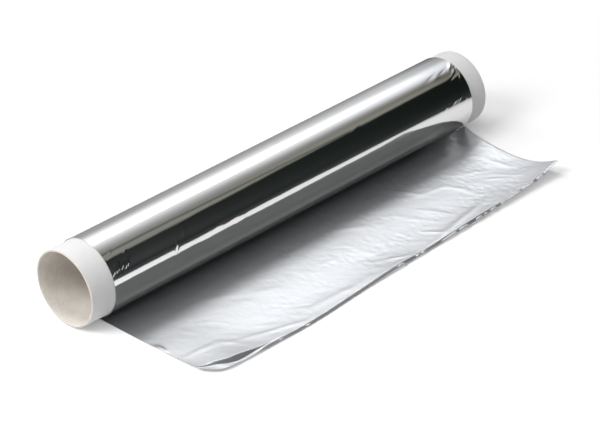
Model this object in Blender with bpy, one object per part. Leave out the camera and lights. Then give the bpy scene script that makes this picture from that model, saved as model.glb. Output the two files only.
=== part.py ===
# Kitchen foil roll: a paper tube with foil wound on it and a short length pulled out.
# Metres, +Z up. The roll lies along Y, its open end on view at -Y, and the pulled length
# runs out to +X. The origin is on the table, under the middle of the foil's width.

import math

import bmesh
import bpy
import numpy as np

# Paper tube
TUBE_RADIUS = 0.0236
TUBE_WALL = 0.0013
TUBE_RIM_CHAMFER = 0.0004
NEAR_OVERHANG = 0.0165
FAR_OVERHANG = 0.0135
TUBE_SIDES = 72

# Foil wound on the tube
FOIL_WIDTH = 0.300
WINDING_CLEARANCE = 0.00015
WOUND_THICKNESS = 0.0004
FLAT_WIDTH = 0.0044
ROLL_SIDES = 72

# Length pulled out, from the roll to its cut edge
SHEET_THICKNESS = 0.00025
SHEET_INSET = 0.0002
TABLE_CLEARANCE = 0.00005
NEAR_REACH = 0.1008
FAR_REACH = 0.0930
REACH_BULGE = 0.0022
BULGE_SPREAD = 0.036
BULGE_SHARE = 0.26
SHEET_ROWS = 28
ROW_CROWDING = 0.06

# Where the pulled length leaves the roll, as an angle round from its lowest line
NEAR_LIFT_OFF = math.radians(4.0)
FAR_LIFT_OFF = math.radians(48.0)
LIFT_OFF_SPREAD = 0.045
ROOT_FALL = 0.0155

# Teeth that the cutter left along the cut edge
TOOTH_PITCH = 0.004
TOOTH_DEPTH = 0.0009

# Far corner, which curls up
CURL_HEIGHT = 0.0085
CURL_LENGTH = 0.038
CURL_SPREAD = 0.032

# Near corner, which rises a little and is cut back
CORNER_HEIGHT = 0.0028
CORNER_LENGTH = 0.040
CORNER_SPREAD = 0.030
CORNER_CUT_BACK = 0.0115
CORNER_CUT_SPREAD = 0.0080

# Cut edge, which stands off the table in long low waves
EDGE_LIFT = 0.0012
EDGE_LENGTH = 0.020
WAVE_HEIGHT = 0.0007

# Border along the cut edge, bent down by the cutter, and wider towards the near corner
BORDER_WIDTH = 0.0026
BORDER_DROP = 0.0011
BORDER_BEND = 0.0024
FOLD_WIDTH = 0.0060
FOLD_DROP = 0.0012
FOLD_SPREAD = 0.040
FOLD_START = 0.008

# Creases pressed into the pulled length
CREASE_HEIGHT = 0.0011
CREASE_WIDTH = 0.0046
CREASE_LENGTH = 0.060
CREASE_FADE = 0.012
# share along the pull, share across the width, turn in degrees from the roll's axis,
# and shares of the crease length, width and height
CREASE_SHARES = (
    (0.76, 0.050, 8.0, 0.50, 1.20, 1.00),
    (0.84, 0.105, 62.0, 0.32, 1.00, 0.90),
    (0.90, 0.190, 20.0, 0.75, 1.00, 1.00),
    (0.62, 0.005, 90.0, 0.22, 0.80, 1.00),
    (0.42, 0.210, 22.0, 0.50, 1.80, 0.50),
    (0.56, 0.280, 27.0, 0.35, 1.40, 0.45),
    (0.92, 0.360, 4.0, 0.85, 1.50, 0.60),
    (0.92, 0.530, 32.0, 0.30, 0.90, 1.40),
    (0.46, 0.560, 31.0, 0.45, 1.20, 0.70),
    (0.90, 0.655, 60.0, 0.24, 0.90, 0.90),
    (0.92, 0.730, -10.0, 0.90, 1.40, 1.20),
    (0.72, 0.720, 62.0, 0.32, 1.00, 0.60),
    (0.43, 0.740, 66.0, 0.30, 1.00, 0.70),
    (0.53, 0.785, 12.0, 0.40, 1.00, 0.80),
    (0.63, 0.820, 74.0, 0.30, 1.00, 0.70),
    (0.56, 0.885, 30.0, 0.35, 1.00, 0.60),
    (0.74, 0.900, 45.0, 0.30, 0.90, 0.90),
    (0.80, 0.930, 62.0, 0.38, 0.90, 1.00),
    (0.64, 0.955, 80.0, 0.35, 1.00, 0.80),
)
# share across the width, share of the width that a wave takes, share of its height
WAVE_SHARES = (
    (0.14, 0.10, 0.6),
    (0.34, 0.12, 0.4),
    (0.50, 0.07, 1.9),
    (0.74, 0.13, 2.0),
)

PAPER_COLOUR = (0.80, 0.78, 0.75, 1.0)
FOIL_COLOUR = (0.86, 0.87, 0.88, 1.0)
SHARP_ANGLE = math.radians(30)

TUBE_BORE_RADIUS = TUBE_RADIUS - TUBE_WALL
FOIL_BORE_RADIUS = TUBE_RADIUS + WINDING_CLEARANCE
ROLL_RADIUS = FOIL_BORE_RADIUS + WOUND_THICKNESS
FLAT_ANGLE = math.asin(FLAT_WIDTH / 2 / ROLL_RADIUS)
ROLL_HEIGHT = ROLL_RADIUS * math.cos(FLAT_ANGLE)
SHEET_HALF_WIDTH = FOIL_WIDTH / 2 - SHEET_INSET
SHEET_LEVEL = TABLE_CLEARANCE + SHEET_THICKNESS / 2


def clear_scene():
    """Take away everything that the scene starts with."""
    for thing in list(bpy.data.objects):
        bpy.data.objects.remove(thing)


def plain_material(name, colour, roughness, metallic):
    """A Principled material of one colour."""
    material = bpy.data.materials.new(name)
    material.use_nodes = True
    shader = material.node_tree.nodes["Principled BSDF"]
    shader.inputs["Base Color"].default_value = colour
    shader.inputs["Roughness"].default_value = roughness
    shader.inputs["Metallic"].default_value = metallic
    return material


def add_object(name, bm, material):
    """Put a bmesh into the scene, shaded smooth but for its sharp edges."""
    bmesh.ops.recalc_face_normals(bm, faces=bm.faces)
    mesh = bpy.data.meshes.new(name)
    bm.to_mesh(mesh)
    bm.free()
    mesh.materials.append(material)
    mesh.shade_smooth()
    mesh.set_sharp_from_angle(angle=SHARP_ANGLE)
    thing = bpy.data.objects.new(name, mesh)
    bpy.context.scene.collection.objects.link(thing)
    return thing


def smooth_step(value):
    """0 below 0, 1 above 1, and an even S between them."""
    part = np.clip(value, 0.0, 1.0)
    return part * part * (3 - 2 * part)


def build_tube(material):
    """The paper tube: the section of its wall, its rims worn off outside, spun round its axis."""
    near = -FOIL_WIDTH / 2 - NEAR_OVERHANG
    far = FOIL_WIDTH / 2 + FAR_OVERHANG
    inner = TUBE_BORE_RADIUS
    outer = TUBE_RADIUS
    chamfer = TUBE_RIM_CHAMFER
    section = (
        (inner, near),
        (outer - chamfer, near),
        (outer, near + chamfer),
        (outer, far - chamfer),
        (outer - chamfer, far),
        (inner, far),
    )
    bm = bmesh.new()
    points = [bm.verts.new((radius, along, 0.0)) for radius, along in section]
    edges = [bm.edges.new((points[i - 1], points[i])) for i in range(len(points))]
    bmesh.ops.spin(
        bm,
        geom=points + edges,
        cent=(0, 0, 0),
        axis=(0, 1, 0),
        angle=math.tau,
        steps=TUBE_SIDES,
        use_merge=True,
    )
    tube = add_object("cardboard_core", bm, material)
    tube.location.z = ROLL_HEIGHT
    return tube


def roll_angles():
    """Angles round the roll from its lowest line: both sides of the flat, then even steps."""
    step = (math.tau - 2 * FLAT_ANGLE) / ROLL_SIDES
    return [0.0] + [FLAT_ANGLE + step * i for i in range(ROLL_SIDES + 1)]


def build_winding(material):
    """The wound turns: a ring with a small flat below, drawn out along the foil's width."""
    bm = bmesh.new()
    rings = []
    for inner in (True, False):
        ring = []
        for angle in roll_angles():
            radius = FOIL_BORE_RADIUS if inner else ROLL_RADIUS
            across = radius * math.sin(angle)
            height = ROLL_HEIGHT - radius * math.cos(angle)
            if angle == 0.0 and not inner:
                height = 0.0
            ring.append(bm.verts.new((across, -FOIL_WIDTH / 2, height)))
        rings.append(ring)
    count = len(rings[0])
    end = []
    for i in range(count):
        following = (i + 1) % count
        corners = (rings[0][i], rings[0][following], rings[1][following], rings[1][i])
        end.append(bm.faces.new(corners))
    drawn = bmesh.ops.extrude_face_region(bm, geom=end, use_keep_orig=True)
    moved = [item for item in drawn["geom"] if isinstance(item, bmesh.types.BMVert)]
    bmesh.ops.translate(bm, verts=moved, vec=(0, FOIL_WIDTH, 0))
    return add_object("foil", bm, material)


def lift_off_angle(y):
    """Angle at which the pulled length leaves the roll: low down, but higher at the far end."""
    far = smooth_step((y - SHEET_HALF_WIDTH) / LIFT_OFF_SPREAD + 1)
    return NEAR_LIFT_OFF + (FAR_LIFT_OFF - NEAR_LIFT_OFF) * far


def sheet_start(y):
    """Place and height on the roll, in the middle of the wound turns, where the pull starts."""
    radius = ROLL_RADIUS - WOUND_THICKNESS / 2
    angle = lift_off_angle(y)
    return radius * np.sin(angle), ROLL_HEIGHT - radius * np.cos(angle)


def sheet_reach(y):
    """Distance of the cut edge from the roll's lowest line: a slant with a slight bulge,
    cut back at the near corner."""
    across = y / FOIL_WIDTH + 0.5
    reach = NEAR_REACH + (FAR_REACH - NEAR_REACH) * across
    from_bulge = (across - BULGE_SHARE) * FOIL_WIDTH / BULGE_SPREAD
    cut_back = CORNER_CUT_BACK * np.exp(-(y + SHEET_HALF_WIDTH) / CORNER_CUT_SPREAD)
    return reach + REACH_BULGE * np.exp(-(from_bulge**2)) - cut_back


def crease(x, y, shares):
    """One pressed crease: a round-topped ridge that fades out at both of its ends."""
    along, across, turn, length, width, height = shares
    middle_y = (across - 0.5) * FOIL_WIDTH
    middle_x = along * sheet_reach(middle_y)
    angle = math.radians(turn)
    lengthwise = (y - middle_y) * math.cos(angle) + (x - middle_x) * math.sin(angle)
    sideways = (x - middle_x) * math.cos(angle) - (y - middle_y) * math.sin(angle)
    fade = (lengthwise / (length * CREASE_LENGTH / 2)) ** 2
    ridge = (sideways / (width * CREASE_WIDTH / 2)) ** 2
    return height * CREASE_HEIGHT * np.exp(-fade - ridge)


def sheet_height(x, y):
    """Height of the pulled length's middle surface over the table."""
    start_x, start_z = sheet_start(y)
    edge = sheet_reach(y)
    out = x - start_x
    height = SHEET_LEVEL + (start_z - SHEET_LEVEL) * np.exp(-out / ROOT_FALL)

    from_far = SHEET_HALF_WIDTH - y
    curl = np.clip((x - edge) / CURL_LENGTH + 1, 0, None) ** 2
    height = height + CURL_HEIGHT * curl * np.exp(-from_far / CURL_SPREAD)

    from_near = SHEET_HALF_WIDTH + y
    rise = np.clip((x - edge) / CORNER_LENGTH + 1, 0, None) ** 2
    height = height + CORNER_HEIGHT * rise * np.exp(-from_near / CORNER_SPREAD)

    near_edge = np.clip((x - edge) / EDGE_LENGTH + 1, 0, None) ** 2
    wave = EDGE_LIFT
    for across, spread, share in WAVE_SHARES:
        offset = (y / FOIL_WIDTH + 0.5 - across) / spread
        wave = wave + share * WAVE_HEIGHT * np.exp(-(offset**2))
    height = height + wave * near_edge

    pressed = sum(crease(x, y, shares) for shares in CREASE_SHARES)
    height = height + pressed * smooth_step(out / CREASE_FADE - 1)

    folded = np.exp(-((from_near / FOLD_SPREAD) ** 4)) * smooth_step(from_near / FOLD_START)
    border = BORDER_WIDTH + FOLD_WIDTH * folded
    bent = smooth_step((x - edge + border) / BORDER_BEND)
    height = height - (BORDER_DROP + FOLD_DROP * folded) * bent
    return np.maximum(height, SHEET_LEVEL)


def build_sheet():
    """The pulled length: a grid from the roll to the cut edge, with a tooth on each column."""
    teeth = max(2, round(2 * SHEET_HALF_WIDTH / TOOTH_PITCH))
    stations = np.linspace(-SHEET_HALF_WIDTH, SHEET_HALF_WIDTH, teeth + 1)
    even = np.linspace(0, 1, SHEET_ROWS + 1)
    shares = even - ROW_CROWDING * np.sin(math.tau * even)
    y = np.repeat(stations[:, None], len(shares), axis=1)
    start = sheet_start(y)[0]
    x = start + (sheet_reach(y) - start) * shares
    z = sheet_height(x, y)

    bm = bmesh.new()
    grid = []
    for i in range(teeth + 1):
        grid.append([bm.verts.new((x[i, j], y[i, j], z[i, j])) for j in range(len(shares))])
    for i in range(teeth):
        for j in range(SHEET_ROWS):
            bm.faces.new((grid[i][j], grid[i][j + 1], grid[i + 1][j + 1], grid[i + 1][j]))

    tip_y = (stations[1:] + stations[:-1]) / 2
    tip_x = sheet_reach(tip_y) + TOOTH_DEPTH
    tip_z = sheet_height(tip_x, tip_y)
    for i in range(teeth):
        tip = bm.verts.new((tip_x[i], tip_y[i], tip_z[i]))
        bm.faces.new((grid[i][-1], tip, grid[i + 1][-1]))
    return bm


def build_foil(material):
    """The foil in one piece: the wound turns with the pulled length joined on."""
    foil = build_winding(material)
    sheet = add_object("pulled_length", build_sheet(), material)
    sheet.hide_render = True
    sheet.display_type = "WIRE"
    wall = sheet.modifiers.new("thickness", "SOLIDIFY")
    wall.thickness = SHEET_THICKNESS
    wall.offset = 0
    join = foil.modifiers.new("pulled length", "BOOLEAN")
    join.operation = "UNION"
    join.solver = "EXACT"
    join.object = sheet
    return foil


def main():
    clear_scene()
    paper = plain_material("grey_paper", PAPER_COLOUR, 0.85, 0.0)
    metal = plain_material("bright_foil", FOIL_COLOUR, 0.22, 1.0)
    build_tube(paper)
    build_foil(metal)


main()
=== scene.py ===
"""Kitchen foil roll on a white table: bright foil wound on a paper tube, a short length pulled out.

Metres, +Z up. The roll lies along Y with its open end on view at -Y. The pulled length runs to +X.
"""

import math

import bpy
import numpy as np
from mathutils import Matrix, Vector


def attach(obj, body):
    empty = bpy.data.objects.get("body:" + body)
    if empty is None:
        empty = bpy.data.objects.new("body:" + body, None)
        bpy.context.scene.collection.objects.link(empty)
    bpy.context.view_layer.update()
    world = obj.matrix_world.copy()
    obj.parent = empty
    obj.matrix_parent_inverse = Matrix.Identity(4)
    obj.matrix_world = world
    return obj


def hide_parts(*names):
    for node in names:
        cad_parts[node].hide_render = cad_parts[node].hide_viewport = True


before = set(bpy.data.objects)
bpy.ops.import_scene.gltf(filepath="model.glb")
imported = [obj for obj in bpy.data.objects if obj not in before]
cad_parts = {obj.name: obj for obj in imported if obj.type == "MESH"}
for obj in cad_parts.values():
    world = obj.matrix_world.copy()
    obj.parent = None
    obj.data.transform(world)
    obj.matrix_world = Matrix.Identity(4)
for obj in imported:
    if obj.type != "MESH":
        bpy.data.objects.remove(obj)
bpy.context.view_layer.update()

# Sizes of the roll, as in the part
TUBE_RADIUS = 0.0236
TUBE_WALL = 0.0013
NEAR_OVERHANG = 0.0165
FAR_OVERHANG = 0.0135
FOIL_WIDTH = 0.300
ROLL_RADIUS = 0.02415
FLAT_WIDTH = 0.0044
FLAT_ANGLE = math.asin(FLAT_WIDTH / 2 / ROLL_RADIUS)
ROLL_HEIGHT = ROLL_RADIUS * math.cos(FLAT_ANGLE)
ARC_PER_DEGREE = math.radians(ROLL_RADIUS)

# Finer than in the part: how far the tube's rim is worn in and back at its outer edge, the
# rounding of its inner edge, the points round each, and the air between tube and turns
RIM_WORN_IN = 0.0005
RIM_WORN_BACK = 0.0009
RIM_EDGE = 0.00012
RIM_STEPS = 6
WINDING_GAP = 0.00003

# Sizes of the pulled length. It reaches, lifts off, falls and curls as in the part
SHEET_INSET = 0.0002
SHEET_HALF_WIDTH = FOIL_WIDTH / 2 - SHEET_INSET
SHEET_THICKNESS = 0.0001
SHEET_LEVEL = 0.0002
NEAR_REACH = 0.1008
FAR_REACH = 0.0930
REACH_BULGE = 0.0022
BULGE_SPREAD = 0.036
BULGE_SHARE = 0.26
NEAR_LIFT_OFF = math.radians(4.0)
FAR_LIFT_OFF = math.radians(48.0)
LIFT_OFF_SPREAD = 0.045
ROOT_FALL = 0.0155
TOOTH_DEPTH = 0.0009
CURL_HEIGHT = 0.0085
CURL_LENGTH = 0.038
CURL_SPREAD = 0.032
EDGE_LIFT = 0.0012
EDGE_LENGTH = 0.026
WAVE_HEIGHT = 0.0007

# The near corner: its rise, how far it is torn back, the fold that drops to the table and
# the flap turned over it
CORNER_HEIGHT = 0.0030
CORNER_LENGTH = 0.055
CORNER_POWER = 1.4
CORNER_MIDDLE = 0.016
CORNER_SPREAD = 0.020
CORNER_CUT_BACK = 0.0115
CORNER_CUT_SPREAD = 0.0055
FOLD_DROP = 0.0030
FOLD_LENGTH = 0.0026
FOLD_LEAST = 0.02
FOLD_MIDDLE = 0.021
FOLD_SPREAD = 0.0145
FOLD_WIDTH = 0.0017
FLAP_WIDTH = 0.0042
FLAP_MIDDLE = 0.0085
FLAP_SPREAD = 0.0065
FLAP_FALL = 0.14

# The cut edge's border, bent down to the table from where the fold ends, and the tips of its
# teeth, some of them bent back up: their shares raised near and far, and how far they bend
BORDER_START = 0.030
BORDER_GROWTH = 0.012
BORDER_WIDTH = 0.0011
BORDER_SLOPE = 0.80
BORDER_BEND = 0.00008
TIP_SEED = 3
TIP_SPACING = 0.0026
TIP_LENGTH = 0.0006
TIP_SHARES = (0.05, 0.65)
TIP_CHANGE = (-0.02, 0.06)
TIP_BENDS = (0.8, 1.4)

# Pressed creases
CREASE_HEIGHT = 0.00034
CREASE_WIDTH = 0.0038
CREASE_LENGTH = 0.060
CREASE_FADE = 0.012
# Each crease: share along the pull, share across the width, turn in degrees from the
# roll's axis, and its length, width and height as multiples of those above
CREASES = np.array([
    (0.76, 0.050, 8.0, 0.50, 1.20, 0.55),
    (0.84, 0.105, 62.0, 0.32, 1.00, 0.55),
    (0.90, 0.190, 20.0, 0.75, 1.00, 0.60),
    (0.635, 0.001, 90.0, 0.13, 1.30, 4.00),
    (0.42, 0.210, 22.0, 0.50, 1.80, 0.50),
    (0.56, 0.280, 27.0, 0.35, 1.40, 0.45),
    (0.92, 0.360, 4.0, 0.85, 1.50, 0.60),
    (0.92, 0.530, 32.0, 0.30, 0.90, 0.80),
    (0.46, 0.560, 31.0, 0.45, 1.20, 0.50),
    (0.90, 0.655, 60.0, 0.24, 0.90, 0.90),
    (0.92, 0.730, -10.0, 0.90, 1.40, 1.20),
    (0.72, 0.720, 62.0, 0.32, 1.00, 0.60),
    (0.43, 0.740, 66.0, 0.30, 1.00, 0.70),
    (0.53, 0.785, 12.0, 0.40, 1.00, 0.50),
    (0.63, 0.820, 74.0, 0.30, 1.00, 0.50),
    (0.56, 0.885, 30.0, 0.35, 1.00, 0.40),
    (0.74, 0.900, 45.0, 0.24, 0.70, 0.50),
    (0.80, 0.930, 62.0, 0.30, 0.80, 0.60),
    (0.64, 0.955, 80.0, 0.35, 1.00, 0.50),
])

# Waves of the cut edge: share across the width, spread as a share of it, multiple of the height
EDGE_WAVES = np.array([
    (0.14, 0.10, 0.6),
    (0.34, 0.12, 0.4),
    (0.50, 0.07, 1.9),
    (0.74, 0.13, 2.0),
])

# Stretches of the cut edge that are bent further down: share across, spread, added slope
EDGE_BENDS = np.array([
    (0.535, 0.016, 0.60),
    (0.645, 0.018, 0.50),
    (0.745, 0.060, 0.75),
    (0.930, 0.030, 0.40),
])

# Wrinkles of the pulled length, drawn at random: how many, their mean turn and its spread in
# degrees, their least and greatest length and width, and the spread of their height
WRINKLE_SEED = 11
WRINKLE_CREST = 1.4
WRINKLES = (
    (50, 50.0, 24.0, (0.018, 0.045), (0.0040, 0.0075), 0.00007),
    (150, 52.0, 26.0, (0.008, 0.024), (0.0022, 0.0036), 0.00004),
    (420, 50.0, 40.0, (0.004, 0.012), (0.0015, 0.0022), 0.000036),
)

# Dents in the wound foil: degrees round from the lowest line towards +X, place along Y,
# turn in degrees from the axis, length, width and depth
ROLL_DENTS = np.array([
    (115.5, -0.1490, 50.0, 0.0034, 0.0008, 0.00010),
    (117.0, -0.1478, 48.0, 0.0044, 0.0008, 0.00014),
    (117.5, -0.1465, 50.0, 0.0044, 0.0008, 0.00014),
    (117.5, -0.1452, 46.0, 0.0040, 0.0008, 0.00013),
    (123.0, -0.1466, 44.0, 0.0036, 0.0009, 0.00018),
    (123.5, -0.1450, 46.0, 0.0040, 0.0009, 0.00018),
    (122.5, -0.1435, 48.0, 0.0038, 0.0009, 0.00017),
    (118.5, -0.1439, 50.0, 0.0034, 0.0008, 0.00013),
    (119.0, -0.1424, 48.0, 0.0042, 0.0009, 0.00016),
    (119.5, -0.1410, 46.0, 0.0044, 0.0009, 0.00017),
    (118.5, -0.1397, 52.0, 0.0042, 0.0009, 0.00016),
    (118.5, -0.1384, 48.0, 0.0044, 0.0009, 0.00017),
    (119.0, -0.1371, 50.0, 0.0036, 0.0009, 0.00014),
    (135.5, -0.1355, 35.0, 0.0036, 0.0010, 0.00006),
    (141.0, -0.1455, 30.0, 0.0070, 0.0014, -0.00004),
    (127.0, -0.1340, 30.0, 0.0060, 0.0013, -0.00006),
    (112.0, -0.1014, 58.0, 0.0050, 0.0010, 0.00004),
    (105.0, -0.1012, 66.0, 0.0050, 0.0010, -0.00008),
    (98.0, -0.1030, 100.0, 0.0050, 0.0012, 0.00009),
    (122.0, -0.0935, 60.0, 0.0050, 0.0014, 0.00005),
    (108.0, -0.0712, 40.0, 0.0045, 0.0016, 0.00003),
    (107.0, -0.0655, 48.0, 0.0045, 0.0016, -0.00003),
    (105.0, -0.0605, 40.0, 0.0045, 0.0016, 0.00003),
    (103.0, -0.0550, 45.0, 0.0045, 0.0016, -0.00003),
    (101.0, -0.0490, 35.0, 0.0050, 0.0018, 0.00003),
    (161.0, 0.1470, 35.0, 0.0070, 0.0015, 0.00014),
    (154.0, 0.1488, 50.0, 0.0060, 0.0013, -0.00014),
    (149.0, 0.1455, 30.0, 0.0100, 0.0016, 0.00016),
    (144.0, 0.1430, 22.0, 0.0090, 0.0015, -0.00013),
    (157.0, 0.1375, 15.0, 0.0120, 0.0018, -0.00006),
    (153.0, 0.1310, 12.0, 0.0130, 0.0020, 0.00006),
    (158.0, 0.1285, 14.0, 0.0120, 0.0018, -0.00004),
    (140.0, 0.1480, 60.0, 0.0060, 0.0013, 0.00013),
    (110.0, 0.1352, 34.0, 0.0044, 0.0009, 0.00010),
    (110.5, 0.1369, 34.0, 0.0046, 0.0009, 0.00010),
    (110.5, 0.1386, 34.0, 0.0046, 0.0009, 0.00010),
    (110.0, 0.1403, 34.0, 0.0044, 0.0009, 0.00010),
    (108.0, 0.1460, 52.0, 0.0050, 0.0012, 0.00004),
    (107.0, 0.1270, 38.0, 0.0050, 0.0014, 0.00003),
    (191.0, -0.0010, 50.0, 0.0060, 0.0015, 0.00008),
    (186.0, 0.0040, 50.0, 0.0060, 0.0015, -0.00006),
    (142.0, 0.0540, 25.0, 0.0090, 0.0020, 0.00003),
])
DENT_DEPTH = 1.5
DENT_CREST = 1.5

# Long shallow ripples of the wound foil, drawn at random: how many, from and to which share
# of a turn, their turn's spread in degrees, lengths, widths and their height's spread
RIPPLE_SEED = 5
RIPPLES = 90
RIPPLE_FROM = 0.2
RIPPLE_TO = 0.9
RIPPLE_TURN = 9.0
RIPPLE_LENGTHS = (0.020, 0.070)
RIPPLE_WIDTHS = (0.003, 0.007)
RIPPLE_HEIGHT = 0.000012

# Grids, and where they are denser: bands of (from, to, gain) in degrees round the roll, in
# metres along it, and in shares along the pull
CROWDING_STEPS = 4000
ROLL_ROWS = 380
ROLL_COLUMNS = 240
SHEET_COLUMNS = 385
SHEET_ROWS = 127
TUBE_COLUMNS = 288
TUBE_ROWS = 60
ROLL_CROWDING_ROUND = ((88.0, 166.0, 1.4), (108.0, 136.0, 2.0))
ROLL_CROWDING_ALONG = (
    (-FOIL_WIDTH / 2, -0.134, 7.0),
    (-0.134, -0.095, 1.0),
    (-0.106, -0.096, 2.0),
    (0.122, FOIL_WIDTH / 2, 2.0),
)
SHEET_CROWDING = ((0.94, 1.0, 2.0), (0.982, 1.0, 4.0))
ROLL_SHARP = math.radians(40)
TUBE_SHARP = math.radians(50)

# Camera, fitted to the outlines of the roll
CAMERA_AZIMUTH = math.radians(45.18)
CAMERA_ELEVATION = math.radians(29.60)
CAMERA_ROLL = math.radians(-1.80)
CAMERA_DISTANCE = 1.5777
CAMERA_SIDE = 0.0146
CAMERA_RISE = -0.0194
CAMERA_AIM = Vector((0.0, 0.0, 0.025))
CAMERA_LENS = 159.46
CAMERA_SENSOR = 36.0
CAMERA_CLIP = (0.05, 20.0)


def smooth_step(value):
    """0 below 0, 1 above 1, and 3v^2 - 2v^3 between them."""
    part = np.clip(value, 0.0, 1.0)
    return part * part * (3 - 2 * part)


def node(tree, kind, inputs=None, **settings):
    """A shader node with its settings and the values of its inputs, or what they are linked to."""
    made = tree.nodes.new(kind)
    for name, value in settings.items():
        setattr(made, name, value)
    for name, value in (inputs or {}).items():
        if isinstance(value, bpy.types.NodeSocket):
            tree.links.new(value, made.inputs[name])
        else:
            made.inputs[name].default_value = value
    return made


def math_node(tree, operation, *values):
    """The output of a Math node of the given operation on up to three values or sockets."""
    made = node(tree, "ShaderNodeMath", dict(enumerate(values)), operation=operation)
    return made.outputs[0]


def ramp(tree, factor, stops):
    """The colour output of a Color Ramp with stops of (place, grey level or colour)."""
    made = node(tree, "ShaderNodeValToRGB", {"Fac": factor})
    elements = made.color_ramp.elements
    for i, (place, colour) in enumerate(stops):
        point = elements[i] if i < 2 else elements.new(place)
        point.position = place
        values = (colour, colour, colour) if isinstance(colour, float) else colour
        point.color = (*values, 1.0)
    return made.outputs["Color"]


def colour_mix(tree, factor, first, second):
    """The first colour where the factor is 0 and the second where it is 1."""
    made = node(tree, "ShaderNodeMix", {0: factor, 6: first, 7: second}, data_type="RGBA")
    return made.outputs[2]


def scaled(tree, colour, factor):
    """A colour times a factor."""
    made = node(tree, "ShaderNodeVectorMath", {0: colour, 3: factor}, operation="SCALE")
    return made.outputs[0]


def new_material(name):
    """An empty material's tree with its output node."""
    material = bpy.data.materials.new(name)
    material.use_nodes = True
    tree = material.node_tree
    tree.nodes.clear()
    return material, tree, node(tree, "ShaderNodeOutputMaterial")


def mesh_piece(name, points, quads, materials, material_index=None, uv=None, sharp=None):
    """A mesh object from an array of points and an array of quads of point indices."""
    mesh = bpy.data.meshes.new(name)
    mesh.vertices.add(len(points))
    mesh.vertices.foreach_set("co", np.ascontiguousarray(points, np.float32).ravel())
    mesh.loops.add(quads.size)
    mesh.loops.foreach_set("vertex_index", np.ascontiguousarray(quads, np.int32).ravel())
    mesh.polygons.add(len(quads))
    mesh.polygons.foreach_set("loop_start", np.arange(0, quads.size, 4, dtype=np.int32))
    if material_index is not None:
        mesh.polygons.foreach_set("material_index", material_index.astype(np.int32))
    for material in materials:
        mesh.materials.append(material)
    if uv is not None:
        layer = mesh.uv_layers.new(name="UVMap")
        layer.data.foreach_set("uv", np.ascontiguousarray(uv[quads.ravel()], np.float32).ravel())
    mesh.update(calc_edges=True)
    mesh.validate()
    mesh.shade_smooth()
    if sharp is not None:
        mesh.set_sharp_from_angle(angle=sharp)
    piece = bpy.data.objects.new(name, mesh)
    bpy.context.scene.collection.objects.link(piece)
    return piece


def grid_quads(rows, columns, wrap_rows=False, wrap_columns=False):
    """Quads of a grid of rows x columns points, numbered row by row."""
    row = np.arange(rows if wrap_rows else rows - 1)
    column = np.arange(columns if wrap_columns else columns - 1)
    i, j = np.meshgrid(row, column, indexing="ij")
    k = (i + 1) % rows
    l = (j + 1) % columns
    corners = (i * columns + j, k * columns + j, k * columns + l, i * columns + l)
    return np.stack(corners, axis=-1).reshape(-1, 4)


def outward(points, quads):
    """The quads, turned over when the closed surface's signed volume is below zero.

    The volume is the sum over triangles of a . (b x c) / 6."""
    a, b, c, d = (points[quads[:, i]] for i in range(4))
    volume = np.einsum("ij,ij->i", a, np.cross(b, c)).sum()
    volume += np.einsum("ij,ij->i", a, np.cross(c, d)).sum()
    return quads if volume > 0 else quads[:, ::-1]


def crowded(low, high, count, bands):
    """Values from low to high that stand closer inside the bands of (from, to, gain).

    They part the summed density 1 + gains into equal shares."""
    fine = np.linspace(low, high, CROWDING_STEPS)
    density = np.ones_like(fine)
    for start, stop, gain in bands:
        density += gain * ((fine > start) & (fine < stop))
    share = np.concatenate(([0.0], np.cumsum((density[1:] + density[:-1]) / 2)))
    return np.interp(np.linspace(0.0, share[-1], count), share, fine)


def ridge_sum(along, across, ridges, crest=2.0):
    """The sum of ridges: height * exp(-(l / half length)^2 - |s / half width|^crest).

    l and s are a point's place along and across the ridge, which is turned from the
    'along' direction. Each ridge is (along, across, turn, length, width, height)."""
    total = np.zeros_like(along)
    for place, offset, turn, length, width, height in ridges:
        cosine = math.cos(math.radians(turn))
        sine = math.sin(math.radians(turn))
        l = (along - place) * cosine + (across - offset) * sine
        s = (across - offset) * cosine - (along - place) * sine
        total += height * np.exp(-((2 * l / length) ** 2) - np.abs(2 * s / width) ** crest)
    return total


def lift_off_angle(y):
    """Angle at which the pulled length leaves the roll: low, rising to the far end."""
    far = smooth_step((y - SHEET_HALF_WIDTH) / LIFT_OFF_SPREAD + 1)
    return NEAR_LIFT_OFF + (FAR_LIFT_OFF - NEAR_LIFT_OFF) * far


def sheet_start(y):
    """Where the pull starts: the point of the roll's circle at the lift-off angle."""
    radius = ROLL_RADIUS - 2 * SHEET_THICKNESS
    angle = lift_off_angle(y)
    return radius * np.sin(angle), ROLL_HEIGHT - radius * np.cos(angle)


def sheet_reach(y):
    """The cut edge's distance: a straight slant, plus a Gaussian bulge, less the near
    corner's exponential cut back."""
    across = y / FOIL_WIDTH + 0.5
    reach = NEAR_REACH + (FAR_REACH - NEAR_REACH) * across
    from_bulge = (across - BULGE_SHARE) * FOIL_WIDTH / BULGE_SPREAD
    cut_back = CORNER_CUT_BACK * np.exp(-(y + SHEET_HALF_WIDTH) / CORNER_CUT_SPREAD)
    return reach + REACH_BULGE * np.exp(-(from_bulge**2)) - cut_back


def pressed_creases(x, y):
    """The pressed creases, each placed by its shares of the reach and of the width."""
    middle_y = (CREASES[:, 1] - 0.5) * FOIL_WIDTH
    middle_x = CREASES[:, 0] * sheet_reach(middle_y)
    sizes = CREASES[:, 3:] * (CREASE_LENGTH, CREASE_WIDTH, CREASE_HEIGHT)
    ridges = np.column_stack((middle_y, middle_x, CREASES[:, 2], sizes))
    return ridge_sum(y, x, ridges)


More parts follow.
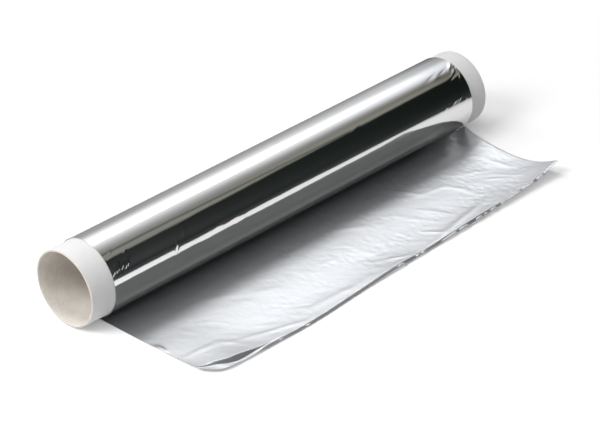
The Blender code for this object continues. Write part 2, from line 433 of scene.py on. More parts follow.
def drawn_wrinkles(x, y):
    """The random wrinkles: sharp-topped ridges spread evenly over the pulled length."""
    random = np.random.default_rng(WRINKLE_SEED)
    height = np.zeros_like(x)
    for count, turn, spread, lengths, widths, tall in WRINKLES:
        ridges = np.column_stack((
            random.uniform(-SHEET_HALF_WIDTH, SHEET_HALF_WIDTH, count),
            random.uniform(ROLL_RADIUS, NEAR_REACH, count),
            random.normal(turn, spread, count),
            random.uniform(*lengths, count),
            random.uniform(*widths, count),
            random.normal(0.0, tall, count),
        ))
        height += ridge_sum(y, x, ridges, WRINKLE_CREST)
    return height


def raised_tips(y):
    """How far the cut edge's tips are bent back up, as a share of the border's slope.

    It is drawn at random for places along the edge and carried over between them."""
    random = np.random.default_rng(TIP_SEED)
    places = np.arange(-FOIL_WIDTH / 2, FOIL_WIDTH / 2 + TIP_SPACING, TIP_SPACING)
    raised = random.random(len(places)) < np.interp(places, TIP_CHANGE, TIP_SHARES)
    return np.interp(y, places, raised * random.uniform(*TIP_BENDS, len(places)))


def sheet_height(x, y):
    """Height of the pulled length.

    It is an exponential fall from the roll, plus the far corner's curl as a square, the near
    corner's rise as a power, the edge's lift and waves as squares, the creases and wrinkles,
    less the near corner's fold, a straight drop that grows over its length, and its flap's
    fall. The border bends down by slope * bend * ln(1 + e^(past / bend)), and the raised tips
    bend back up in the same way."""
    start_x, start_z = sheet_start(y)
    edge = sheet_reach(y)
    out = x - start_x
    height = SHEET_LEVEL + (start_z - SHEET_LEVEL) * np.exp(-out / ROOT_FALL)

    from_far = SHEET_HALF_WIDTH - y
    curl = np.clip((x - edge) / CURL_LENGTH + 1, 0, None) ** 2
    height = height + CURL_HEIGHT * curl * np.exp(-from_far / CURL_SPREAD)

    from_near = SHEET_HALF_WIDTH + y
    rise = np.clip((x - edge) / CORNER_LENGTH + 1, 0, None) ** CORNER_POWER
    aside = (from_near - CORNER_MIDDLE) / CORNER_SPREAD
    height = height + CORNER_HEIGHT * rise * np.exp(-(aside**2))

    near_edge = np.clip((x - edge) / EDGE_LENGTH + 1, 0, None) ** 2
    wave = EDGE_LIFT
    for across, spread, share in EDGE_WAVES:
        offset = (y / FOIL_WIDTH + 0.5 - across) / spread
        wave = wave + share * WAVE_HEIGHT * np.exp(-(offset**2))
    height = height + wave * near_edge

    clear_of_roll = smooth_step(out / CREASE_FADE - 1)
    height = height + (pressed_creases(x, y) + drawn_wrinkles(x, y)) * clear_of_roll

    folded = np.exp(-(((from_near - FOLD_MIDDLE) / FOLD_SPREAD) ** 2))
    flap = np.exp(-(((from_near - FLAP_MIDDLE) / FLAP_SPREAD) ** 2))
    on_flap = x - edge + FOLD_WIDTH + FLAP_WIDTH * flap
    length = FOLD_LENGTH * (folded + FOLD_LEAST)
    height = height - FOLD_DROP * folded * np.clip(on_flap / length + 1, 0, 1)
    height = height - FLAP_FALL * flap * np.clip(on_flap, 0, None)

    begun = smooth_step((from_near - BORDER_START) / BORDER_GROWTH)
    slope = BORDER_SLOPE * begun
    for across, spread, added in EDGE_BENDS:
        offset = (y / FOIL_WIDTH + 0.5 - across) / spread
        slope = slope + added * np.exp(-(offset**2))
    past = (x - edge + BORDER_WIDTH * begun) / BORDER_BEND
    height = height - slope * BORDER_BEND * np.logaddexp(0.0, past)
    past = (x - edge + TIP_LENGTH) / BORDER_BEND
    height = height + raised_tips(y) * slope * BORDER_BEND * np.logaddexp(0.0, past)
    return np.maximum(height, SHEET_LEVEL)


def build_sheet(top_material, under_material):
    """The pulled length as a thin closed sheet: its upper grid, the same grid moved down
    along its normals, and a strip round the border. Every other column's end is a tooth."""
    stations = np.linspace(-SHEET_HALF_WIDTH, SHEET_HALF_WIDTH, SHEET_COLUMNS)
    even = crowded(0.0, 1.0, SHEET_ROWS, SHEET_CROWDING)
    y = np.repeat(stations[:, None], SHEET_ROWS, axis=1)
    start = sheet_start(y)[0]
    x = start + (sheet_reach(y) - start) * even
    x[1::2, -1] += TOOTH_DEPTH
    z = sheet_height(x, y)
    top = np.stack((x, y, z), axis=-1)

    along = np.gradient(top, axis=1)
    across = np.gradient(top, axis=0)
    normal = np.cross(along, across)
    normal /= np.linalg.norm(normal, axis=-1, keepdims=True)
    under = top - normal * SHEET_THICKNESS

    count = SHEET_COLUMNS * SHEET_ROWS
    points = np.concatenate((top.reshape(-1, 3), under.reshape(-1, 3)))
    upper = grid_quads(SHEET_COLUMNS, SHEET_ROWS)
    index = np.arange(count).reshape(SHEET_COLUMNS, SHEET_ROWS)
    ring = np.concatenate((index[:-1, 0], index[-1, :-1], index[:0:-1, -1], index[0, :0:-1]))
    following = np.roll(ring, -1)
    strip = np.stack((ring, following, following + count, ring + count), axis=-1)
    lower = upper[:, ::-1] + count
    first = upper[0]
    a, b, c = points[first[0]], points[first[1]], points[first[2]]
    if np.cross(b - a, c - a)[2] < 0:
        upper = upper[:, ::-1]
        lower = lower[:, ::-1]
    quads = np.concatenate((upper, lower, strip))
    slots = np.concatenate((np.zeros(len(upper)), np.ones(len(lower) + len(strip))))
    flat = np.stack((y, x), axis=-1).reshape(-1, 2)
    uv = np.concatenate((flat, flat))
    materials = (top_material, under_material)
    return mesh_piece("pulled_foil", points, quads, materials, slots, uv)


def roll_radius(angle, y):
    """Radius of the wound foil at an angle round from its lowest line: a circle with a flat
    below, the dents, and long ripples drawn at random."""
    near_bottom = np.minimum(np.abs(angle), FLAT_ANGLE)
    radius = ROLL_HEIGHT / np.cos(near_bottom)
    arc = (np.degrees(angle) % 360.0) * ARC_PER_DEGREE
    ridges = ROLL_DENTS[:, [1, 0, 2, 3, 4, 5]]
    ridges[:, 1] = (ridges[:, 1] % 360.0) * ARC_PER_DEGREE
    ridges[:, 5] *= DENT_DEPTH
    random = np.random.default_rng(RIPPLE_SEED)
    ripples = np.column_stack((
        random.uniform(-FOIL_WIDTH / 2, FOIL_WIDTH / 2, RIPPLES),
        random.uniform(RIPPLE_FROM * math.tau, RIPPLE_TO * math.tau, RIPPLES) * ROLL_RADIUS,
        random.normal(0.0, RIPPLE_TURN, RIPPLES),
        random.uniform(*RIPPLE_LENGTHS, RIPPLES),
        random.uniform(*RIPPLE_WIDTHS, RIPPLES),
        random.normal(0.0, RIPPLE_HEIGHT, RIPPLES),
    ))
    return radius + ridge_sum(y, arc, ridges, DENT_CREST) + ridge_sum(y, arc, ripples)


def build_roll(material):
    """The wound foil: its closed section carried round the axis, from the lowest line."""
    bands = [(*np.radians((start, stop)), gain) for start, stop, gain in ROLL_CROWDING_ROUND]
    step = crowded(FLAT_ANGLE, math.tau - FLAT_ANGLE, ROLL_COLUMNS - 1, bands)
    angle = np.concatenate(([0.0], step))
    angle = np.where(angle > math.pi, angle - math.tau, angle)
    half = FOIL_WIDTH / 2
    along = crowded(-half, half, ROLL_ROWS, ROLL_CROWDING_ALONG)
    y, a = np.meshgrid(along, angle, indexing="ij")
    outer = roll_radius(a, y)
    inner_rows = np.array([half, 0.0, -half])
    inner_y, inner_a = np.meshgrid(inner_rows, angle, indexing="ij")
    inner = np.full_like(inner_y, TUBE_RADIUS + WINDING_GAP)
    radius = np.concatenate((outer, inner))
    y = np.concatenate((y, inner_y))
    a = np.concatenate((a, inner_a))
    points = np.stack((radius * np.sin(a), y, ROLL_HEIGHT - radius * np.cos(a)), axis=-1)
    points = points.reshape(-1, 3)
    quads = grid_quads(len(along) + len(inner_rows), len(angle), True, True)
    quads = outward(points, quads)
    return mesh_piece("wound_foil", points, quads, (material,), sharp=ROLL_SHARP)


def build_tube(outside, inside, cut):
    """The paper tube: the section of its wall, with rounded rims, carried round its axis."""
    near = -FOIL_WIDTH / 2 - NEAR_OVERHANG
    far = FOIL_WIDTH / 2 + FAR_OVERHANG
    inner = TUBE_RADIUS - TUBE_WALL
    turn = np.linspace(0, math.pi / 2, RIM_STEPS)
    worn_in = RIM_WORN_IN * (1 - np.sin(turn))
    worn_back = RIM_WORN_BACK * (1 - np.cos(turn))
    edge_in = RIM_EDGE * (1 - np.cos(turn))
    edge_back = RIM_EDGE * (1 - np.sin(turn))
    near_outer = (TUBE_RADIUS - worn_in, near + worn_back)
    far_outer = (TUBE_RADIUS - worn_in[::-1], far - worn_back[::-1])
    far_inner = (inner + edge_in[::-1], far - edge_back[::-1])
    near_inner = (inner + edge_in, near + edge_back)
    wall_y = np.linspace(near + RIM_WORN_BACK, far - RIM_WORN_BACK, TUBE_ROWS)[1:-1]
    outer_wall = (np.full_like(wall_y, TUBE_RADIUS), wall_y)
    inner_wall = (np.full_like(wall_y, inner), wall_y[::-1])
    parts = (near_outer, outer_wall, far_outer, far_inner, inner_wall, near_inner)
    radius = np.concatenate([part[0] for part in parts])
    along = np.concatenate([part[1] for part in parts])
    angle = np.arange(TUBE_COLUMNS) * math.tau / TUBE_COLUMNS
    r, a = np.meshgrid(radius, angle, indexing="ij")
    y, a = np.meshgrid(along, angle, indexing="ij")
    points = np.stack((r * np.sin(a), y, ROLL_HEIGHT - r * np.cos(a)), axis=-1).reshape(-1, 3)
    quads = outward(points, grid_quads(len(radius), TUBE_COLUMNS, True, True))
    rows = quads // TUBE_COLUMNS
    from_end = np.minimum(along[rows] - near, far - along[rows]).mean(axis=1)
    side = np.where(radius[rows].mean(axis=1) > TUBE_RADIUS - TUBE_WALL / 2, 0, 1)
    slots = np.where((from_end < RIM_WORN_BACK) & (radius[rows].min(axis=1) > inner), 2, side)
    materials = (outside, inside, cut)
    return mesh_piece("paper_tube", points, quads, materials, slots, sharp=TUBE_SHARP)


SMOOTH = "SMOOTHSTEP"


def mapped(tree, value, source, target=(0.0, 1.0), kind="LINEAR"):
    """A value carried over from one range to another and held at its ends."""
    made = node(tree, "ShaderNodeMapRange", {
        "Value": value,
        "From Min": source[0],
        "From Max": source[1],
        "To Min": target[0],
        "To Max": target[1],
    }, interpolation_type=kind)
    return made.outputs[0]


def bump(tree, height, distance, below=None, strength=1.0):
    """The normal output of a Bump node, laid over the one below."""
    inputs = {"Height": height, "Distance": distance, "Strength": strength}
    if below is not None:
        inputs["Normal"] = below
    return node(tree, "ShaderNodeBump", inputs).outputs[0]


def noise(tree, place, scale, detail=3.0, stretch=(1.0, 1.0, 1.0), kind="FBM"):
    """The value of a Noise node on a place stretched by the given factors."""
    moved = node(tree, "ShaderNodeMapping", {"Vector": place, "Scale": stretch}).outputs[0]
    made = node(tree, "ShaderNodeTexNoise", {"Vector": moved, "Scale": scale, "Detail": detail},
                noise_type=kind)
    return made.outputs[0]


def turned_place(tree, place, turn, stretch=(1.0, 1.0, 1.0)):
    """A place turned about +Z and then stretched."""
    made = node(tree, "ShaderNodeMapping", {
        "Vector": place,
        "Rotation": (0.0, 0.0, turn),
        "Scale": stretch,
    })
    return made.outputs[0]


# The bright side. Each pattern is its scale in waves a metre, detail and stretch
BRIGHT_RIPPLES = (130.0, 2.0, (1.0, 0.12, 1.0))
BRIGHT_PUCKERS = (330.0, 3.0, (1.0, 0.45, 1.0))
ROLLING_LINES = (2600.0, 2.0, (0.02, 1.0, 0.02))
DULL_PATCHES = (45.0, 4.0, (1.0, 0.5, 1.0))
BRIGHT_RIPPLE_DEPTH = 0.00005
BRIGHT_PUCKER_DEPTH = 0.00001
ROLLING_LINE_DEPTH = 0.0000012
BRIGHT_TONES = ((0.25, (0.690, 0.694, 0.692)), (0.75, (0.722, 0.722, 0.718)))
BRIGHT_ROUGHNESS = (0.05, 0.12)


def bright_foil():
    """The bright side of foil: a near mirror with faint ripples along the roll, fine rolling
    lines round it and slightly duller patches."""
    material, tree, output = new_material("bright_foil")
    place = node(tree, "ShaderNodeTexCoord").outputs["Object"]
    normal = bump(tree, noise(tree, place, *BRIGHT_RIPPLES), BRIGHT_RIPPLE_DEPTH)
    normal = bump(tree, noise(tree, place, *BRIGHT_PUCKERS), BRIGHT_PUCKER_DEPTH, normal)
    normal = bump(tree, noise(tree, place, *ROLLING_LINES), ROLLING_LINE_DEPTH, normal)
    dull = noise(tree, place, *DULL_PATCHES)
    shader = node(tree, "ShaderNodeBsdfPrincipled", {
        "Base Color": ramp(tree, dull, BRIGHT_TONES),
        "Metallic": 1.0,
        "Roughness": mapped(tree, dull, (0.0, 1.0), BRIGHT_ROUGHNESS),
        "Normal": normal,
    })
    tree.links.new(shader.outputs[0], output.inputs["Surface"])
    return material


# The satin side. Its place wanders by a noise, so that no crease runs straight; creases,
# puckers and smears are turned one way and facets another
SATIN_WANDER = (60.0, 2.0)
WANDER_REACH = 0.004
CREASE_TURN = math.radians(-42.0)
SATIN_CREASES = (170.0, 3.0, (0.4, 1.0, 1.0), "RIDGED_MULTIFRACTAL")
SATIN_PUCKERS = (420.0, 3.0, (0.6, 1.0, 1.0))
SATIN_SMEARS = (55.0, 5.0, (0.5, 1.0, 1.0))
SATIN_GRAIN = (2400.0, 2.0)
SATIN_CREASE_DEPTH = 0.00011
SATIN_PUCKER_DEPTH = 0.00006
SATIN_GRAIN_DEPTH = 0.000016
SATIN_TONES = ((0.2, (0.640, 0.655, 0.682)), (0.8, (0.690, 0.701, 0.718)))
SATIN_ROUGHNESS = (0.42, 0.48)
SATIN_METALLIC = 0.88
# Crumpled facets: their cells, the places along Y between which they grow and their shares
# there, and the noise that leaves them out in patches
FACET_TURN = math.radians(-62.0)
FACET_STRETCH = (0.55, 1.0, 1.0)
FACET_SCALE = 260.0
FACET_DEPTH = 0.00013
FACET_GROWTH = (-0.13, 0.10)
FACET_SHARES = (0.30, 1.5)
FACET_PATCHES = (45.0, 2.0)
PATCH_EDGES = (0.40, 0.60)
# The sheet is less rough beside the roll: from where to where along X, and by which share
LESS_ROUGH_PLACES = (0.044, 0.028)
LESS_ROUGH_SHARES = (1.0, 0.67)


def satin_foil():
    """The satin side of foil: broad soft shine, fine grain, creases, crumpled facets and dull
    smears."""
    material, tree, output = new_material("satin_foil")
    place = node(tree, "ShaderNodeTexCoord").outputs["Object"]
    wander = noise(tree, place, *SATIN_WANDER)
    shift = node(tree, "ShaderNodeVectorMath", {0: wander, 3: WANDER_REACH}, operation="SCALE")
    bent = node(tree, "ShaderNodeVectorMath", {0: place, 1: shift.outputs[0]}, operation="ADD")
    turned = turned_place(tree, bent.outputs[0], CREASE_TURN)
    drawn = turned_place(tree, bent.outputs[0], FACET_TURN, FACET_STRETCH)
    facets = node(tree, "ShaderNodeTexVoronoi", {"Vector": drawn, "Scale": FACET_SCALE})

    parts = node(tree, "ShaderNodeSeparateXYZ", {0: place}).outputs
    growth = mapped(tree, parts["Y"], FACET_GROWTH, FACET_SHARES)
    patches = mapped(tree, noise(tree, place, *FACET_PATCHES), PATCH_EDGES, kind=SMOOTH)
    crumpled = math_node(tree, "MULTIPLY", growth, patches)
    beside_roll = mapped(tree, parts["X"], LESS_ROUGH_PLACES, LESS_ROUGH_SHARES, SMOOTH)
    dull = noise(tree, turned, *SATIN_SMEARS)
    roughness = mapped(tree, dull, (0.0, 1.0), SATIN_ROUGHNESS)

    normal = bump(tree, noise(tree, turned, *SATIN_CREASES), SATIN_CREASE_DEPTH)
    normal = bump(tree, facets.outputs["Distance"], FACET_DEPTH, normal, crumpled)
    normal = bump(tree, noise(tree, turned, *SATIN_PUCKERS), SATIN_PUCKER_DEPTH, normal)
    normal = bump(tree, noise(tree, place, *SATIN_GRAIN), SATIN_GRAIN_DEPTH, normal)
    shader = node(tree, "ShaderNodeBsdfPrincipled", {
        "Base Color": ramp(tree, dull, SATIN_TONES),
        "Metallic": SATIN_METALLIC,
        "Roughness": math_node(tree, "MULTIPLY", roughness, beside_roll),
        "Normal": normal,
    })
    tree.links.new(shader.outputs[0], output.inputs["Surface"])
    return material


# Papers of the tube: name, pale tone, dark tone, the seam's place in a turn, and the depth of
# the seam and of the grain
TUBE_PAPERS = (
    ("tube_paper", (0.692, 0.692, 0.690), (0.656, 0.656, 0.653), 0.31, 0.00004, 0.00001),
    ("tube_board", (0.800, 0.757, 0.703), (0.680, 0.633, 0.572), 0.12, 0.00003, 0.00002),
    ("tube_cut", (0.72, 0.69, 0.65), (0.63, 0.59, 0.54), 0.0, 0.00002, 0.00003),
)
PAPER_CLOUDS = (160.0, 5.0)
PAPER_FIBRES = (1500.0, 3.0, (1.0, 0.3, 1.0))
FIBRE_SHARE = 0.5
DARK_PLACE = 0.32
PALE_PLACE = 0.62
CLOUD_TO_GRAIN = 3
PAPER_ROUGHNESS = (0.78, 0.95)
# Spiral of the tube's plies: how far it climbs in a turn, half the width of its seam, and the
# seam's tone and how strongly it shows
PLY_PITCH = 0.058
SEAM_HALF_WIDTH = 0.0005
SEAM_TONE = 0.86
SEAM_SHARE = 0.38


def ply_seam(tree, place, offset):
    """1 on the spiral seam and 0 off it.

    The seam is where y / pitch + angle / turn + offset comes near a whole number."""
    parts = node(tree, "ShaderNodeSeparateXYZ", {0: place}).outputs
    up = math_node(tree, "SUBTRACT", parts["Z"], ROLL_HEIGHT)
    turn = math_node(tree, "ARCTAN2", up, parts["X"])
    turn = math_node(tree, "MULTIPLY_ADD", turn, 1 / math.tau, offset)
    climb = math_node(tree, "MULTIPLY_ADD", parts["Y"], 1 / PLY_PITCH, turn)
    near = math_node(tree, "PINGPONG", climb, 0.5)
    return mapped(tree, near, (SEAM_HALF_WIDTH / PLY_PITCH, 0.0), kind=SMOOTH)


def paper(name, pale, dark, seam_offset, seam_depth, grain_depth):
    """Paper with a clouded tone, short fibres along the tube and a spiral seam."""
    material, tree, output = new_material(name)
    place = node(tree, "ShaderNodeTexCoord").outputs["Object"]
    clouds = noise(tree, place, *PAPER_CLOUDS)
    fibres = noise(tree, place, *PAPER_FIBRES)
    clouds_part = math_node(tree, "MULTIPLY", clouds, 1 - FIBRE_SHARE)
    mixed = math_node(tree, "MULTIPLY_ADD", fibres, FIBRE_SHARE, clouds_part)
    tone = ramp(tree, mixed, ((DARK_PLACE, dark), (PALE_PLACE, pale)))
    seam = ply_seam(tree, place, seam_offset)
    shade = tuple(SEAM_TONE * level for level in dark)
    faded = math_node(tree, "MULTIPLY", seam, SEAM_SHARE)
    normal = bump(tree, math_node(tree, "SUBTRACT", 0.0, seam), seam_depth)
    normal = bump(tree, fibres, grain_depth, normal)
    normal = bump(tree, clouds, CLOUD_TO_GRAIN * grain_depth, normal)
    shader = node(tree, "ShaderNodeBsdfPrincipled", {
        "Base Color": colour_mix(tree, faded, tone, (*shade, 1.0)),
        "Roughness": mapped(tree, fibres, (0.0, 1.0), PAPER_ROUGHNESS),
        "Normal": normal,
    })
    tree.links.new(shader.outputs[0], output.inputs["Surface"])
    return material


# Studio: a light tent round the roll. Its levels go by the angle about the roll's axis, from
# +X upwards to -X, for what the roll's near end mirrors and for what its far end mirrors
TENT_RADIUS = 1.5
TENT_SIDES = 96
TENT_STRENGTH = 1.0
TENT_NEAR = -4.5
TENT_FAR = 4.5
MIRRORED_NEAR = 0.90
MIRRORED_FAR = 1.45
TENT_NEAR_LEVELS = (
    (-180.0, 0.40), (-168.0, 0.34), (-158.0, 0.12), (-95.0, 0.12), (-60.0, 0.03),
    (60.0, (0.300, 0.305, 0.270)), (76.0, (0.288, 0.292, 0.262)), (80.0, (0.345, 0.348, 0.330)),
    (85.0, 0.425), (90.0, 0.540), (95.0, 0.690), (100.0, 0.855), (106.0, 1.12), (112.0, 1.30),
    (118.0, 2.30), (130.0, 2.30), (136.0, 1.45), (142.0, 1.15), (148.0, (0.87, 0.88, 0.90)),
    (154.0, 0.66), (160.0, 0.51), (166.0, 0.47), (172.0, 0.46), (180.0, 0.40),
)
TENT_FAR_LEVELS = (
    (-180.0, 0.40), (-168.0, 0.34), (-158.0, 0.12), (-95.0, 0.12), (-60.0, 0.03),
    (60.0, (0.325, 0.325, 0.265)), (74.0, (0.315, 0.310, 0.262)), (79.0, (0.236, 0.228, 0.192)),
    (82.0, (0.195, 0.186, 0.160)), (85.0, (0.240, 0.228, 0.208)), (90.0, (0.372, 0.354, 0.352)),
    (95.0, 0.560), (100.0, (0.86, 0.86, 0.91)), (106.0, (1.17, 1.19, 1.24)),
    (112.0, (1.32, 1.37, 1.42)), (118.0, (1.40, 1.44, 1.48)), (124.0, (1.36, 1.41, 1.45)),
    (130.0, (1.22, 1.26, 1.30)), (136.0, (0.96, 1.00, 1.03)), (142.0, 0.83),
    (148.0, (0.75, 0.75, 0.79)), (160.0, 0.70), (166.0, 0.58), (172.0, 0.50), (180.0, 0.42),
)
# The long lamp behind the cloth: its lower and upper angle, how softly they end, its level,
# and where along Y it fades out
LAMP_LOW = 110.2
LAMP_HIGH = 126.0
LAMP_SOFTNESS = 4.0
LAMP_LEVEL = 4.9
LAMP_END = 1.08
LAMP_GONE = 1.34
# The black card at the tent's +X side: levels by the angle, near and far, the power by which
# the far ones come in along Y, its lowest angle, and the angle and softness of its upper
# edge, which slants
CARD_NEAR_LEVELS = (
    (-60.0, 0.03), (0.0, 0.075), (8.0, (0.026, 0.030, 0.031)), (15.0, (0.052, 0.056, 0.057)),
    (25.0, (0.055, 0.059, 0.060)), (35.0, (0.040, 0.044, 0.043)), (60.0, (0.022, 0.026, 0.022)),
)
CARD_FAR_LEVELS = (
    (-60.0, 0.03), (0.0, 0.045), (8.0, (0.020, 0.025, 0.023)), (15.0, (0.016, 0.020, 0.019)),
    (25.0, (0.010, 0.014, 0.012)), (60.0, (0.008, 0.012, 0.010)),
)
CARD_CHANGE = 0.55
CARD_LOWEST = -60.0
CARD_EDGE_NEAR = 55.6
CARD_EDGE_FAR = 68.6
CARD_SOFTNESS = 6.0
# A dark line over the card's near half: its angle at the two places, half width and depth
LINE_NEAR = 71.8
LINE_FAR = 60.5
LINE_HALF_WIDTH = 4.5
LINE_DEPTH = 0.58
# The tent's cloth dims at both ends: each pair is the place along Y where it is dimmed and the
# place where it is in full light. Then its share of light where it is dimmed
CLOTH_NEAR = (0.35, 0.80)
CLOTH_FAR = (1.58, 1.37)
CLOTH_DIMMED = 0.35


def level_ramp(tree, share, levels):
    """A ramp of light levels given by angles in degrees from -180 to 180."""
    return ramp(tree, share, [((degrees + 180) / 360, level) for degrees, level in levels])


def build_tent():
    """A long light tent round the roll's axis, seen in the foil and not by the camera."""
    material, tree, output = new_material("light_tent")
    place = node(tree, "ShaderNodeTexCoord").outputs["Object"]
    parts = node(tree, "ShaderNodeSeparateXYZ", {0: place}).outputs
    angle = math_node(tree, "ARCTAN2", parts["Z"], parts["X"])
    share = math_node(tree, "MULTIPLY_ADD", angle, 1 / math.tau, 0.5)
    degrees = math_node(tree, "MULTIPLY", angle, 180 / math.pi)
    far = mapped(tree, parts["Y"], (MIRRORED_NEAR, MIRRORED_FAR))
    cloth = colour_mix(tree, far, level_ramp(tree, share, TENT_NEAR_LEVELS),
                       level_ramp(tree, share, TENT_FAR_LEVELS))
    early = math_node(tree, "POWER", far, CARD_CHANGE)
    card = colour_mix(tree, early, level_ramp(tree, share, CARD_NEAR_LEVELS),
                      level_ramp(tree, share, CARD_FAR_LEVELS))

    from_middle = math_node(tree, "SUBTRACT", degrees, (LAMP_LOW + LAMP_HIGH) / 2)
    outer = (LAMP_HIGH - LAMP_LOW + LAMP_SOFTNESS) / 2
    inner = (LAMP_HIGH - LAMP_LOW - LAMP_SOFTNESS) / 2
    off_middle = math_node(tree, "ABSOLUTE", from_middle)
    lit = mapped(tree, off_middle, (outer, inner), (0.0, LAMP_LEVEL), SMOOTH)
    left = mapped(tree, parts["Y"], (LAMP_GONE, LAMP_END), kind=SMOOTH)
    lamp = math_node(tree, "MULTIPLY", lit, left)
    cloth = node(tree, "ShaderNodeVectorMath", {0: cloth, 1: lamp}, operation="ADD").outputs[0]
    for dimmed_to_full in (CLOTH_NEAR, CLOTH_FAR):
        light = mapped(tree, parts["Y"], dimmed_to_full, (CLOTH_DIMMED, 1.0), SMOOTH)
        cloth = scaled(tree, cloth, light)

    line = mapped(tree, far, (0.0, 1.0), (LINE_NEAR, LINE_FAR))
    from_line = math_node(tree, "ABSOLUTE", math_node(tree, "SUBTRACT", degrees, line))
    dark = mapped(tree, from_line, (LINE_HALF_WIDTH, 0.0), (1.0, 1.0 - LINE_DEPTH), SMOOTH)
    lined = scaled(tree, cloth, dark)

    edge = mapped(tree, far, (0.0, 1.0), (CARD_EDGE_NEAR, CARD_EDGE_FAR))
    over_edge = math_node(tree, "SUBTRACT", degrees, edge)
    above = mapped(tree, over_edge, (-CARD_SOFTNESS / 2, CARD_SOFTNESS / 2), kind=SMOOTH)
    below = math_node(tree, "LESS_THAN", degrees, CARD_LOWEST)
    shown = math_node(tree, "MAXIMUM", above, below)
    colour = colour_mix(tree, shown, card, lined)
    glow = node(tree, "ShaderNodeEmission", {"Color": colour, "Strength": TENT_STRENGTH})
    tree.links.new(glow.outputs[0], output.inputs["Surface"])
    angles = np.arange(TENT_SIDES) * math.tau / TENT_SIDES
    ends = np.array([TENT_NEAR, TENT_FAR])
    y, a = np.meshgrid(ends, angles, indexing="ij")
    points = np.stack((TENT_RADIUS * np.cos(a), y, TENT_RADIUS * np.sin(a)), axis=-1)
    quads = grid_quads(len(ends), TENT_SIDES, False, True)
    tent = mesh_piece("light_tent", points.reshape(-1, 3), quads, (material,))
    tent.visible_camera = False
    tent.visible_shadow = False
    tent.visible_diffuse = False


# The table: its middle, half its side, the points along a side, how far from its middle it
# starts to fade and is gone, where along X behind the roll it does so too, its level, its
# tone, and the light added to it where it is seen
FLOOR_CENTRE = (0.12, 0.01)
FLOOR_REACH = 1.2
FLOOR_POINTS = 5
FLOOR_FADES = (0.18, 0.34)
FLOOR_FADES_BEHIND = (-0.06, -0.24)
FLOOR_LEVEL = -0.0001
FLOOR_TONE = (0.88, 0.88, 0.88, 1.0)
FLOOR_LIFT = 0.14

# The world's even light on matte surfaces, and the soft boxes: name, place, aim, size, power
EVEN_LIGHT = 0.30
SOFT_BOXES = (
    ("long_box", (-0.80, -0.32, 1.15), (0.0, 0.0, 0.0), (0.5, 2.0), 11.2),
    ("front_box", (-0.10, -0.86, 0.84), (0.0, -0.1, 0.0), (0.6, 0.5), 9.6),
    ("top_box", (0.72, -0.15, 1.12), (0.05, 0.0, 0.0), (0.5, 1.2), 4.6),
)


def seen_or_mirrored(tree):
    """1 for what the camera sees straight, mirrored or through glass, and 0 elsewhere."""
    light = node(tree, "ShaderNodeLightPath").outputs
    seen = math_node(tree, "MAXIMUM", light["Is Camera Ray"], light["Is Glossy Ray"])
    return math_node(tree, "MAXIMUM", seen, light["Is Transmission Ray"])


def build_floor():
    """A white table whose far parts fade out; it lights up to white and keeps the shadow."""
    material, tree, output = new_material("white_table")
    lift = math_node(tree, "MULTIPLY", seen_or_mirrored(tree), FLOOR_LIFT)
    matte = node(tree, "ShaderNodeBsdfDiffuse", {"Color": FLOOR_TONE})
    glow = node(tree, "ShaderNodeEmission", {"Strength": lift})
    both = node(tree, "ShaderNodeAddShader", {0: matte.outputs[0], 1: glow.outputs[0]})
    place = node(tree, "ShaderNodeTexCoord").outputs["Object"]
    middle = (*FLOOR_CENTRE, 0.0)
    offset = node(tree, "ShaderNodeVectorMath", {0: place, 1: middle}, operation="SUBTRACT")
    distance = node(tree, "ShaderNodeVectorMath", {0: offset.outputs[0]}, operation="LENGTH")
    fade = mapped(tree, distance.outputs["Value"], FLOOR_FADES, kind=SMOOTH)
    along_x = node(tree, "ShaderNodeSeparateXYZ", {0: place}).outputs["X"]
    behind = mapped(tree, along_x, FLOOR_FADES_BEHIND, kind=SMOOTH)
    faded = math_node(tree, "MAXIMUM", fade, behind)
    clear = node(tree, "ShaderNodeBsdfTransparent")
    mixed = node(tree, "ShaderNodeMixShader", {
        0: faded, 1: both.outputs[0], 2: clear.outputs[0],
    })
    tree.links.new(mixed.outputs[0], output.inputs["Surface"])
    side = np.linspace(-FLOOR_REACH, FLOOR_REACH, FLOOR_POINTS)
    x, y = np.meshgrid(side + FLOOR_CENTRE[0], side + FLOOR_CENTRE[1], indexing="ij")
    points = np.stack((x, y, np.full_like(x, FLOOR_LEVEL)), axis=-1).reshape(-1, 3)
    quads = grid_quads(FLOOR_POINTS, FLOOR_POINTS)[:, ::-1]
    mesh_piece("white_table", points, quads, (material,))


def set_world():
    """White where it is seen or mirrored, and an even light elsewhere."""
    world = bpy.data.worlds.new("white_studio")
    bpy.context.scene.world = world
    world.use_nodes = True
    tree = world.node_tree
    tree.nodes.clear()
    seen = seen_or_mirrored(tree)
    even = node(tree, "ShaderNodeBackground", {"Strength": EVEN_LIGHT})
    white = node(tree, "ShaderNodeBackground", {"Color": (1.0, 1.0, 1.0, 1.0), "Strength": 1.0})
    mixed = node(tree, "ShaderNodeMixShader", {0: seen, 1: even.outputs[0], 2: white.outputs[0]})
    output = node(tree, "ShaderNodeOutputWorld")
    tree.links.new(mixed.outputs[0], output.inputs["Surface"])


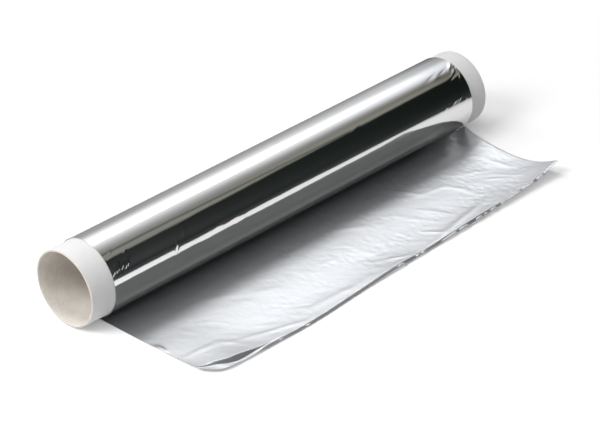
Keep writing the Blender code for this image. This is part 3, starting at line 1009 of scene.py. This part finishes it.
def add_softbox(name, place, aim, size, power):
    """A soft area lamp for the matte surfaces, facing its aim and not mirrored in the foil."""
    lamp = bpy.data.lights.new(name, "AREA")
    lamp.shape = "RECTANGLE"
    lamp.size, lamp.size_y = size
    lamp.energy = power
    thing = bpy.data.objects.new(name, lamp)
    bpy.context.scene.collection.objects.link(thing)
    thing.location = place
    thing.rotation_euler = (Vector(aim) - Vector(place)).to_track_quat("-Z", "Y").to_euler()
    thing.visible_glossy = False
    thing.visible_camera = False


def set_camera():
    """The camera, from its bearing, elevation, roll and distance."""
    level = math.cos(CAMERA_ELEVATION)
    back = Vector((
        math.sin(CAMERA_AZIMUTH) * level,
        -math.cos(CAMERA_AZIMUTH) * level,
        math.sin(CAMERA_ELEVATION),
    ))
    side = Vector((0, 0, 1)).cross(back).normalized()
    rise = back.cross(side)
    right = side * math.cos(CAMERA_ROLL) + rise * math.sin(CAMERA_ROLL)
    up = rise * math.cos(CAMERA_ROLL) - side * math.sin(CAMERA_ROLL)
    place = CAMERA_AIM + right * CAMERA_SIDE + up * CAMERA_RISE + back * CAMERA_DISTANCE
    data = bpy.data.cameras.new("camera")
    data.lens = CAMERA_LENS
    data.sensor_width = CAMERA_SENSOR
    data.clip_start, data.clip_end = CAMERA_CLIP
    camera = bpy.data.objects.new("camera", data)
    bpy.context.scene.collection.objects.link(camera)
    turn = Matrix((right, up, back)).transposed()
    camera.matrix_world = Matrix.Translation(place) @ turn.to_4x4()
    bpy.context.scene.camera = camera


bpy.context.scene.view_settings.view_transform = "Standard"
set_camera()
set_world()
build_floor()
build_tent()
for box in SOFT_BOXES:
    add_softbox(*box)

bright = bright_foil()
satin = satin_foil()
outside, inside, cut = (paper(*finish) for finish in TUBE_PAPERS)
roll = build_roll(bright)
sheet = build_sheet(satin, bright)
tube = build_tube(outside, inside, cut)
for piece, cad_node, slot in (
    (roll, "foil", "foil"),
    (sheet, "foil", "foil"),
    (tube, "cardboard_core", "cardboard"),
):
    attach(piece, "root")
    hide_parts(cad_node)
